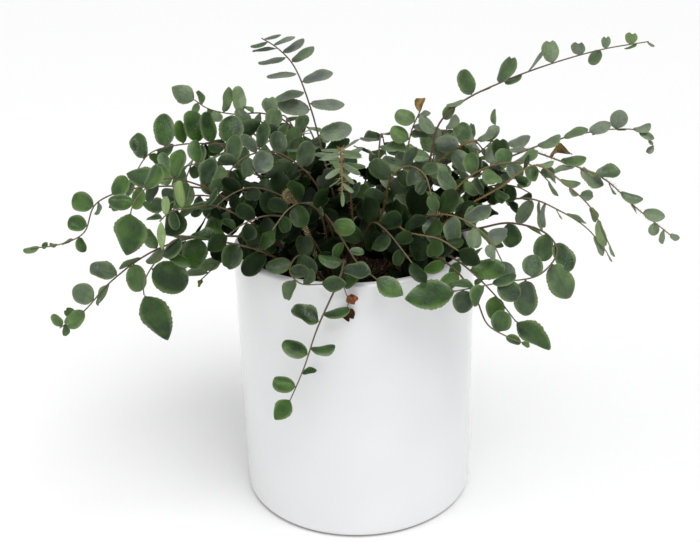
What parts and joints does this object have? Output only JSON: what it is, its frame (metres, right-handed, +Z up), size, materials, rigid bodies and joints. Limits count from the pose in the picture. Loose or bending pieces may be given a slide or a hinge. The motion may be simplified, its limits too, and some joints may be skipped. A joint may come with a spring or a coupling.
{
  "type": "potted button fern",
  "caption": "Button fern with small round leathery leaflets on wiry arching fronds, growing from soil in a straight white glazed cylinder pot.",
  "frame": {"origin": "centre of the pot's flat foot, on the surface that it stands on", "axes": "+Z up along the pot's axis; the side seen from the front of the plant looks along -Y; +X to the viewer's right"},
  "size_m": [0.3303, 0.1874, 0.2453],
  "materials": {
    "white_glaze": "gloss",
    "potting_soil": "matte",
    "fern_leaf": "satin"
  },
  "bodies": {
    "root": {"pot": "white_glaze", "soil": "potting_soil", "frond_back_left_1": "fern_leaf", "frond_back_left_2": "fern_leaf", "frond_back_left_3": "fern_leaf", "frond_back_left_4": "fern_leaf", "frond_back_right_1": "fern_leaf", "frond_back_right_2": "fern_leaf", "frond_back_right_3": "fern_leaf", "frond_back_short_1": "fern_leaf", "frond_back_short_2": "fern_leaf", "frond_back_short_3": "fern_leaf", "frond_back_short_4": "fern_leaf", "frond_centre_front": "fern_leaf", "frond_centre_right": "fern_leaf", "frond_centre_young": "fern_leaf", "frond_crozier_back": "fern_leaf", "frond_front_hanging": "fern_leaf", "frond_front_left": "fern_leaf", "frond_front_mid": "fern_leaf", "frond_front_rim": "fern_leaf", "frond_inner_1": "fern_leaf", "frond_inner_2": "fern_leaf", "frond_inner_3": "fern_leaf", "frond_inner_4": "fern_leaf", "frond_left_back": "fern_leaf", "frond_left_deep": "fern_leaf", "frond_left_far": "fern_leaf", "frond_left_front": "fern_leaf", "frond_left_high": "fern_leaf", "frond_left_light": "fern_leaf", "frond_left_lower": "fern_leaf", "frond_left_mid": "fern_leaf", "frond_left_rim": "fern_leaf", "frond_left_rise": "fern_leaf", "frond_left_round": "fern_leaf", "frond_left_terminal": "fern_leaf", "frond_left_top": "fern_leaf", "frond_left_under": "fern_leaf", "frond_lower_right": "fern_leaf", "frond_lower_thin": "fern_leaf", "frond_right_crown": "fern_leaf", "frond_right_front": "fern_leaf", "frond_right_high": "fern_leaf", "frond_right_long": "fern_leaf", "frond_right_loop": "fern_leaf", "frond_right_low": "fern_leaf", "frond_right_mid": "fern_leaf", "frond_right_near": "fern_leaf", "frond_right_rise": "fern_leaf", "frond_right_small": "fern_leaf", "frond_right_thin": "fern_leaf", "frond_right_upper": "fern_leaf", "frond_top_short": "fern_leaf", "frond_upright": "fern_leaf"}
  },
  "joints": []
}
